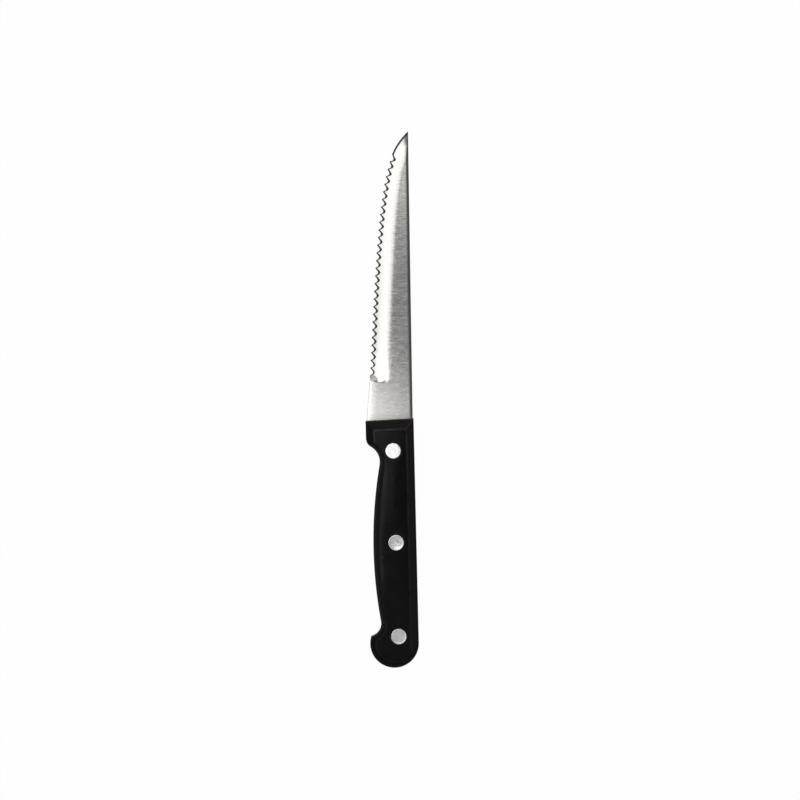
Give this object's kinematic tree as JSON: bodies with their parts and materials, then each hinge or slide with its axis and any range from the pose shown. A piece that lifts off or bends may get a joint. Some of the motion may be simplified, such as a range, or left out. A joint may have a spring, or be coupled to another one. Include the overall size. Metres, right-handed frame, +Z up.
{
  "type": "pizza knife",
  "caption": "Serrated pizza knife with a pointed, one-sided ground steel blade and a full tang riveted between two black bevelled plastic handle scales.",
  "frame": {"origin": "on the surface that the rear scale lies on, under the middle of the knife's box", "axes": "+X from the cutting edge towards the back, +Y from the butt towards the tip, +Z up out of the front face"},
  "size_m": [0.02, 0.216, 0.012],
  "materials": {
    "blade_steel": "satin, brushed across the blade, with a bright ground band",
    "handle_plastic": "smooth satin black",
    "rivet_metal": "flat heads, finely scratched"
  },
  "bodies": {
    "root": {"blade": "blade_steel", "front_scale": "handle_plastic", "rear_scale": "handle_plastic", "neck_rivet_barrel": "rivet_metal", "middle_rivet_barrel": "rivet_metal", "butt_rivet_barrel": "rivet_metal", "neck_rivet_post": "rivet_metal", "middle_rivet_post": "rivet_metal", "butt_rivet_post": "rivet_metal"}
  },
  "joints": []
}
